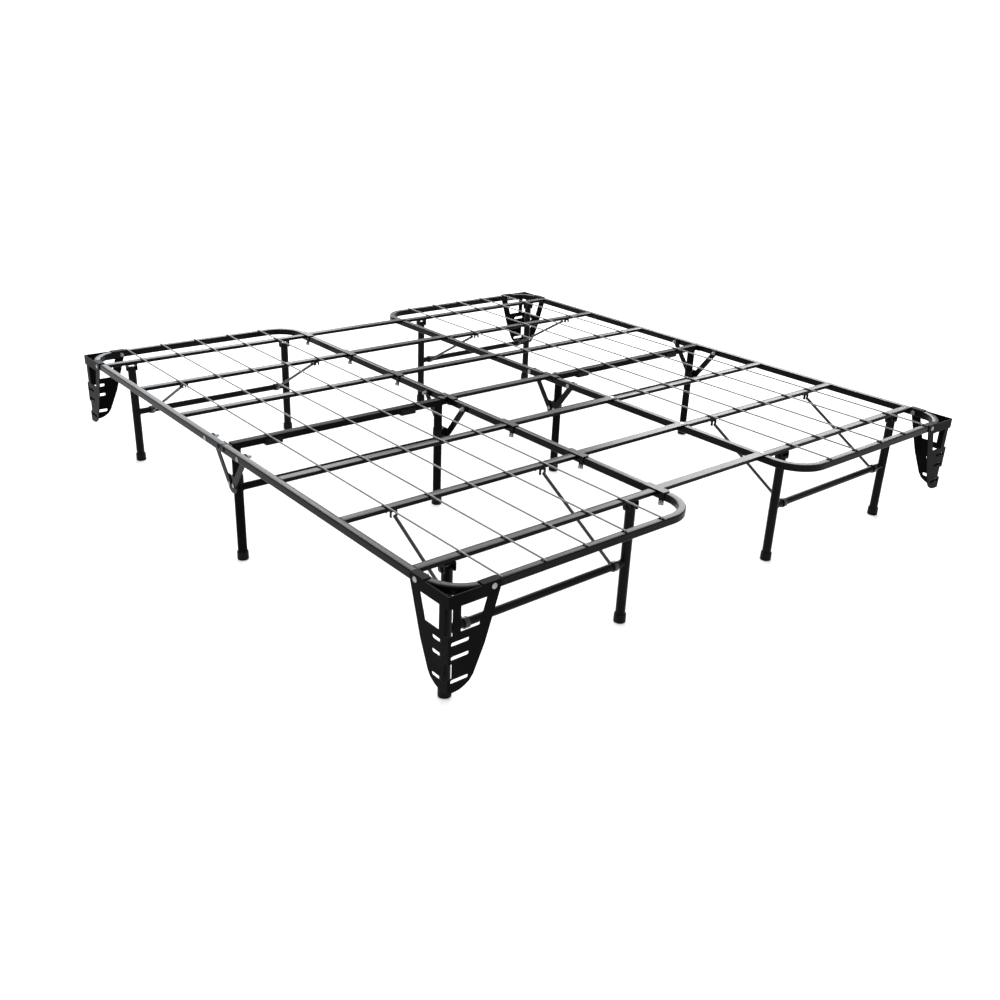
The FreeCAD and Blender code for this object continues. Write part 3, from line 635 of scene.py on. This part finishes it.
def ladder(shape, beads, xs, side, y, top, cross_z, rng, bead):
    """Two legs and the tube between them, with a bead where the tube meets each leg."""
    r, bore = LEG_RADIUS, LEG_RADIUS - 1.5 * MM
    floor_of_bore = top - 30 * MM
    for x in xs:
        outline = [(0, LEG_LOW), (r, LEG_LOW), (r, LEG_LOW + 1e-4), (r, (LEG_LOW + top) / 2), (r, top - 1e-3),
                   (r - 0.6 * MM, top - 0.2 * MM), (bore, top), (bore, floor_of_bore), (0, floor_of_bore)]
        shape.lathe(outline, (side * x, y, 0), (0, 0, 1), 48)
    into_leg = 8 * MM
    a, b = side * (xs[0] + into_leg), side * (xs[1] - into_leg)
    length = abs(b - a)
    tube = [(0, 0), (CROSS_RADIUS, 0), (CROSS_RADIUS, length / 2), (CROSS_RADIUS, length), (0, length)]
    shape.lathe(tube, (min(a, b), y, cross_z), (1, 0, 0), 40)
    weld = CROSS_RADIUS + 0.4 * MM
    for x, inward in ((xs[0], 1), (xs[1], -1)):
        path = []
        for k in range(37):
            t = 2 * math.pi * k / 36
            dy, dz = weld * math.cos(t), weld * math.sin(t)
            path.append(Vector((side * (x + inward * math.sqrt(r * r - dy * dy)), y + dy, cross_z + dz)))
        beads.bead(path, bead, rng)


class BED_OT_legs(bpy.types.Operator):
    """Builds the folding end legs, the middle legs and their fold bars"""

    bl_idname = "bed.legs"
    bl_label = "Legs"

    def execute(self, context):
        sizes = context.scene.bed_frame_sizes
        paint, satin = finishes()["paint"], finishes()["plate"]
        rng = random.Random(5)
        bead = sizes.bead_radius
        for end_name, end in ENDS:
            for side_name, side in SIDES:
                shape, beads = Shape(), Shape()
                ladder(shape, beads, END_LEGS, side, end * LEG_Y, LEG_TOP, END_CROSS, rng, bead)
                body = f"{end_name}_legs_{side_name}"
                node = f"{end_name}_leg_frame_{side_name}"
                shape.piece(node + "_tubes", body, paint, (node,))
                beads.piece(node + "_welds", body, paint, smooth=80)
        for side_name, side in SIDES:
            shape, beads = Shape(), Shape()
            ladder(shape, beads, MIDDLE_LEGS, side, 0.0, FOLD_BAR_LOW, MIDDLE_CROSS, rng, bead)
            self.fold_bar(shape, side, sizes.bar_corner)
            for x in MIDDLE_LEGS:
                beads.bead(self.collar(side * x), bead, rng)
            node = "middle_frame_" + side_name
            shape.piece(node + "_tubes", "middle_legs", satin, (node,))
            beads.piece(node + "_welds", "middle_legs", satin, smooth=80)
        return {"FINISHED"}

    def collar(self, x):
        """The weld's path round the top of a middle leg, held within the fold bar's width."""
        radius, half = LEG_RADIUS + 0.2 * MM, BAR_WIDE / 2
        path = []
        for k in range(41):
            t = 2 * math.pi * k / 40
            y = min(max(radius * math.sin(t), -half), half)
            path.append(Vector((x + radius * math.cos(t), y, FOLD_BAR_LOW)))
        return path

    def fold_bar(self, shape, side, corner):
        """The deeper bar over the middle legs, narrowed at its ends where the links fold past."""
        face_in, face_out = INNER_FACE + RAIL, OUTER_FACE - RAIL
        x0, x1 = face_in + FOLD_BAR_STOP, face_out - FOLD_BAR_STOP
        z = (DECK_TOP + FOLD_BAR_LOW) / 2
        profile = round_rect(BAR_WIDE, DECK_TOP - FOLD_BAR_LOW, corner)
        shape.sweep([Vector((side * x0, 0, z)), Vector((side * x1, 0, z))], profile)
        tip, tip_z = round_rect(5 * MM, 15 * MM, 1 * MM), z - 0.5 * MM
        for a, b in ((face_in + FOLD_BAR_TIP, x0), (x1, face_out - FOLD_BAR_TIP)):
            shape.sweep([Vector((side * a, 0, tip_z)), Vector((side * b, 0, tip_z))], tip)


class BED_OT_caps(bpy.types.Operator):
    """Builds the plastic foot caps"""

    bl_idname = "bed.caps"
    bl_label = "Foot caps"

    def execute(self, context):
        plastic = finishes()["plastic"]
        for end_name, end in ENDS:
            for side_name, side in SIDES:
                shape = Shape()
                for x in END_LEGS:
                    self.cap(shape, side * x, end * LEG_Y)
                node = f"{end_name}_caps_{side_name}"
                shape.piece(node + "_cups", f"{end_name}_legs_{side_name}", plastic, (node,), smooth=30)
        shape = Shape()
        for _, side in SIDES:
            for x in MIDDLE_LEGS:
                self.cap(shape, side * x, 0.0)
        shape.piece("middle_caps_cups", "middle_legs", plastic, ("middle_caps",), smooth=30)
        return {"FINISHED"}

    def cap(self, shape, x, y):
        """A turned cup: flat sole with a rounded edge, a groove, and a lip round the leg."""
        sole = ((0, 0), (13.2, 0), (14.6, 0.3), (15.6, 1.1), (16, 2.4))
        groove = ((16, 7.0), (15.5, 7.4), (15.5, 8.4), (16, 8.8))
        lip = ((15.9, 20.0), (15.7, 23.6), (15.0, 24.7), (14.2, 25.0), (13.05, 24.4), (13.05, 20), (0, 20))
        outline = [(r * MM, h * MM) for r, h in sole + groove + lip]
        shape.lathe(outline, (x, y, 0), (0, 0, 1), 48)


def dome(shape, at, axis):
    """A round-headed bolt or rivet head standing on a face."""
    radius, height = HEAD_RADIUS, HEAD_HEIGHT
    outline = [(0, -0.3 * MM), (radius, 0.0), (radius, height * 0.25), (radius * 0.93, height * 0.5),
               (radius * 0.72, height * 0.8), (radius * 0.4, height * 0.96), (0, height)]
    shape.lathe(outline, at, axis, 28)


def hexagon(shape, at, axis):
    """A six-sided nut with chamfered corners."""
    turn = UP.rotation_difference(Vector(axis)).to_matrix()
    rings = []
    corner = NUT_FLATS / math.sqrt(3)
    for scale, h in ((0.9, 0), (1.0, 0.12), (1.0, 0.88), (0.88, 1.0)):
        ring = []
        for k in range(6):
            a = math.pi / 3 * k
            spot = Vector((corner * scale * math.cos(a), corner * scale * math.sin(a), h * NUT_HEIGHT))
            ring.append(Vector(at) + turn @ spot)
        rings.append(ring)
    shape.rings(rings)


def stud(shape, start, axis, length):
    """A plain shank with a chamfered tip."""
    radius, chamfer = SHANK_RADIUS, 0.8 * MM
    outline = [(0, 0), (radius, 0), (radius, length - chamfer), (radius - chamfer, length), (0, length)]
    shape.lathe(outline, start, axis, 20)


class BED_OT_fasteners(bpy.types.Operator):
    """Builds the bolts, nuts and rivets"""

    bl_idname = "bed.fasteners"
    bl_label = "Bolts, nuts and rivets"

    def execute(self, context):
        zinc, paint = finishes()["zinc"], finishes()["paint"]
        for end_name, end in ENDS:
            body = end_name + "_half"
            bolts, nuts = Shape(), Shape()
            self.link_bolts(bolts, nuts, end)
            link, bracket = end_name + "_link_", end_name + "_bracket_"
            bolts.piece(link + "bolt_heads", body, zinc, (link + "bolts",), smooth=30)
            nuts.piece(link + "bolt_nuts", body, zinc, (link + "nuts",), smooth=20)
            bolts, nuts = Shape(), Shape()
            self.bracket_bolts(bolts, nuts, end)
            bolts.piece(bracket + "bolt_heads", body, zinc, (bracket + "bolts",), smooth=30)
            nuts.piece(bracket + "bolt_nuts", body, zinc, (bracket + "nuts",), smooth=20)
            rivets = Shape()
            self.leg_rivets(rivets, end)
            painted = rivets.piece(end_name + "_leg_rivet_heads", body, paint, (end_name + "_leg_rivets",),
                                   smooth=30)
        rivets = Shape()
        self.fold_rivets(rivets)
        painted = rivets.piece("fold_rivet_heads", "middle_legs", paint, ("fold_rivets",), smooth=30)
        return {"FINISHED"}

    def link_bolts(self, bolts, nuts, end):
        """The bolts that the folding links turn on, with a washer and a nut each."""
        for _, side in SIDES:
            for face, d in RAIL_FACES:
                out = Vector((-side * d, 0, 0))
                head = Vector((side * (face - d * RAIL), end * LINK_BOLT_Y, BOLT_LEVEL))
                dome(bolts, head, out)
                stud(bolts, head + out * -1 * MM, -out, LINK_SHANK)
                seat = Vector((side * face, end * LINK_BOLT_Y, BOLT_LEVEL))
                bore, rim, thick = WASHER_BORE, HEAD_RADIUS, WASHER_THICK
                nuts.lathe([(bore, 0), (rim, 0), (rim, thick), (bore, thick)], seat, -out, 28)
                hexagon(nuts, seat - out * 6.4 * MM, -out)

    def bracket_bolts(self, bolts, nuts, end):
        """The two bolts through each bracket and its rail."""
        for _, side in SIDES:
            beside = Vector((side * OUTER_FACE, end * (END_FACE - BRACKET_BOLT), BOLT_LEVEL))
            across = Vector((side * (OUTER_FACE - BRACKET_BOLT), end * END_FACE, BOLT_LEVEL))
            for at, axis in ((beside, Vector((side, 0, 0))), (across, Vector((0, end, 0)))):
                dome(bolts, at + axis * BRACKET_PLATE, axis)
                stud(bolts, at, -axis, BRACKET_SHANK)
                hexagon(nuts, at - axis * RAIL, -axis)

    def leg_rivets(self, rivets, end):
        """A rivet through each end leg and both cheeks of its hanger."""
        for _, side in SIDES:
            for x in END_LEGS:
                at = Vector((side * x, end * LEG_Y, LEG_PIVOT))
                for s in (-1, 1):
                    dome(rivets, at + Vector((s * HANGER_FACE, 0, 0)), (s, 0, 0))
                stud(rivets, at - Vector((HANGER_FACE, 0, 0)), (1, 0, 0), 2 * HANGER_FACE)

    def fold_rivets(self, rivets):
        """The rivets that each rail turns on at the fold."""
        for _, side in SIDES:
            for face, d in RAIL_FACES:
                for s in (-1, 1):
                    out = Vector((-side * d, 0, 0))
                    at = Vector((side * (face - d * (RAIL + 0.3 * MM)), s * FOLD_Y, FOLD_Z))
                    dome(rivets, at, out)
                    stud(rivets, at, -out, RAIL + 3.0 * MM)


class BED_OT_fittings(bpy.types.Operator):
    """Rounds the edges of plates and clips and gives them their finish"""

    bl_idname = "bed.fittings"
    bl_label = "Plates and clips"

    def execute(self, context):
        done = finishes()
        edge = context.scene.bed_frame_sizes.edge
        paint, rod, zinc, plastic = done["paint"], done["rod"], done["zinc"], done["plastic"]
        plates = ["hinge_plates", "centre_joining_bar"]
        for end_name, _ in ENDS:
            plates += [end_name + tail for tail in (
                "_bracket_left", "_bracket_right", "_leg_hangers", "_rod_clips", "_fold_links",
                "_joining_bars", "_centre_saddles")]
        for node in plates:
            softened(node, owner(node), done["plate"] if "_bracket_" in node else paint, edge)
        softened("link_sliders", "link_sliders", paint, edge)
        softened("fold_saddles", "middle_legs", plastic, edge * 2)
        for end_name, _ in ENDS:
            for side_name, _ in SIDES:
                node = f"{end_name}_brace_rods_{side_name}"
                softened(node, owner(node), rod, edge)
            for tail in ("_link_rivets", "_joining_knobs", "_joining_bolts"):
                softened(end_name + tail, owner(end_name + tail), zinc, edge)
        return {"FINISHED"}


# Name, heading from +Y towards +X, height, spread across and up (all in degrees), brightness, tint.
SOFTBOXES = (
    ("rear_right_softbox", 57.0, 20.5, (18.0, 9.0), 13.0, (1, 1, 1)),
    ("rear_left_softbox", 22.0, 20.0, (16.0, 18.0), 6.0, (0.92, 0.96, 1.0)),
    ("rear_middle_softbox", 42.0, 29.5, (32.0, 10.0), 12.0, (0.97, 0.98, 1.0)),
    ("overhead_softbox", 40.0, 75.0, (26.0, 20.0), 3.0, (1, 1, 1)),
)


class BED_OT_stage(bpy.types.Operator):
    """Sets the floor, the lights and the camera"""

    bl_idname = "bed.stage"
    bl_label = "Stage"

    def execute(self, context):
        stage = context.scene.bed_frame_stage
        self.floor(stage)
        self.world(context.scene, stage)
        for panel in SOFTBOXES:
            self.softbox(*panel)
        self.camera(context.scene, stage)
        return {"FINISHED"}

    def floor(self, stage):
        """A plain pale floor, very slightly uneven in tone."""
        g = Graph("pale_floor")
        cloud = g.noise(1.5, 2.0, 0.5)
        pale = tuple(stage.floor)
        material = g.finish(Base_Color=g.blend(cloud, pale, tuple(c * 0.99 for c in pale)), Roughness=0.9)
        g.shader.inputs["Specular IOR Level"].default_value = 0.0
        shape = Shape()
        reach = 30.0
        corners = ((-1, -1), (1, -1), (1, 1), (-1, 1))
        shape.bm.faces.new([shape.bm.verts.new((x * reach, y * reach, 0)) for x, y in corners])
        mesh = bpy.data.meshes.new("floor")
        shape.bm.to_mesh(mesh)
        shape.bm.free()
        floor = bpy.data.objects.new("floor", mesh)
        mesh.materials.append(material)
        bpy.context.scene.collection.objects.link(floor)

    def world(self, scene, stage):
        """Even white light from all round."""
        world = bpy.data.worlds.new("studio")
        world.use_nodes = True
        world.node_tree.nodes["Background"].inputs["Color"].default_value = (1, 1, 1, 1)
        world.node_tree.nodes["Background"].inputs["Strength"].default_value = stage.sky
        scene.world = world
        scene.view_settings.view_transform = "Standard"
        scene.view_settings.look = "None"

    def softbox(self, name, heading, height, spread, glow, tint):
        """A soft panel far off, facing the bed: its direction and its spread in degrees, its brightness."""
        away = 30.0
        a, e = math.radians(heading), math.radians(height)
        outward = Vector((math.sin(a) * math.cos(e), math.cos(a) * math.cos(e), math.sin(e)))
        data = bpy.data.lights.new(name, "AREA")
        data.shape = "RECTANGLE"
        data.size, data.size_y = (2 * away * math.tan(math.radians(s / 2)) for s in spread)
        data.energy = glow * math.pi * data.size * data.size_y
        data.color = tint
        lamp = bpy.data.objects.new(name, data)
        lamp.location = outward * away
        lamp.rotation_euler = (-outward).to_track_quat("-Z", "Y").to_euler()
        lamp.visible_camera = False
        bpy.context.scene.collection.objects.link(lamp)

    def camera(self, scene, stage):
        """The camera, turned from its heading, tilt and roll."""
        a, e, r = stage.heading, stage.tilt, stage.roll
        ahead = Vector((math.sin(a) * math.cos(e), math.cos(a) * math.cos(e), -math.sin(e)))
        right = Vector((math.cos(a), -math.sin(a), 0))
        above = right.cross(ahead)
        turned = right * math.cos(r) + above * math.sin(r)
        upper = above * math.cos(r) - right * math.sin(r)
        data = bpy.data.cameras.new("camera")
        data.lens = stage.lens
        data.sensor_width = 36.0
        data.clip_end = 100.0
        camera = bpy.data.objects.new("camera", data)
        matrix = Matrix((turned, upper, -ahead)).transposed().to_4x4()
        camera.matrix_world = Matrix.Translation(stage.camera_place) @ matrix
        scene.collection.objects.link(camera)
        scene.camera = camera


class BED_PT_panel(bpy.types.Panel):
    """Lists the sizes, looks and pieces in the sidebar"""

    bl_idname = "BED_PT_panel"
    bl_label = "Bed Frame"
    bl_space_type = "VIEW_3D"
    bl_region_type = "UI"
    bl_category = "Bed Frame"

    def draw(self, context):
        scene = context.scene
        for group in (scene.bed_frame_sizes, scene.bed_frame_look, scene.bed_frame_stage):
            box = self.layout.box()
            for name in group.__annotations__:
                box.prop(group, name)
        for operator in OPERATORS:
            self.layout.operator(operator.bl_idname)


OPERATORS = (BED_OT_rails, BED_OT_bars, BED_OT_wires, BED_OT_legs, BED_OT_caps, BED_OT_fasteners,
             BED_OT_fittings, BED_OT_stage)
CLASSES = (BED_PG_look, BED_PG_sizes, BED_PG_stage, *OPERATORS, BED_PT_panel)


def register():
    """Adds the classes and the scene's settings to Blender."""
    for cls in CLASSES:
        bpy.utils.register_class(cls)
    bpy.types.Scene.bed_frame_look = bpy.props.PointerProperty(type=BED_PG_look)
    bpy.types.Scene.bed_frame_sizes = bpy.props.PointerProperty(type=BED_PG_sizes)
    bpy.types.Scene.bed_frame_stage = bpy.props.PointerProperty(type=BED_PG_stage)


def unregister():
    """Takes them away again."""
    for name in ("bed_frame_look", "bed_frame_sizes", "bed_frame_stage"):
        delattr(bpy.types.Scene, name)
    for cls in reversed(CLASSES):
        bpy.utils.unregister_class(cls)


def main():
    """Registers the classes, then builds every piece and the stage."""
    register()
    bpy.ops.bed.rails()
    bpy.ops.bed.bars()
    bpy.ops.bed.wires()
    bpy.ops.bed.legs()
    bpy.ops.bed.caps()
    bpy.ops.bed.fasteners()
    bpy.ops.bed.fittings()
    bpy.ops.bed.stage()


if __name__ == "__main__":
    main()
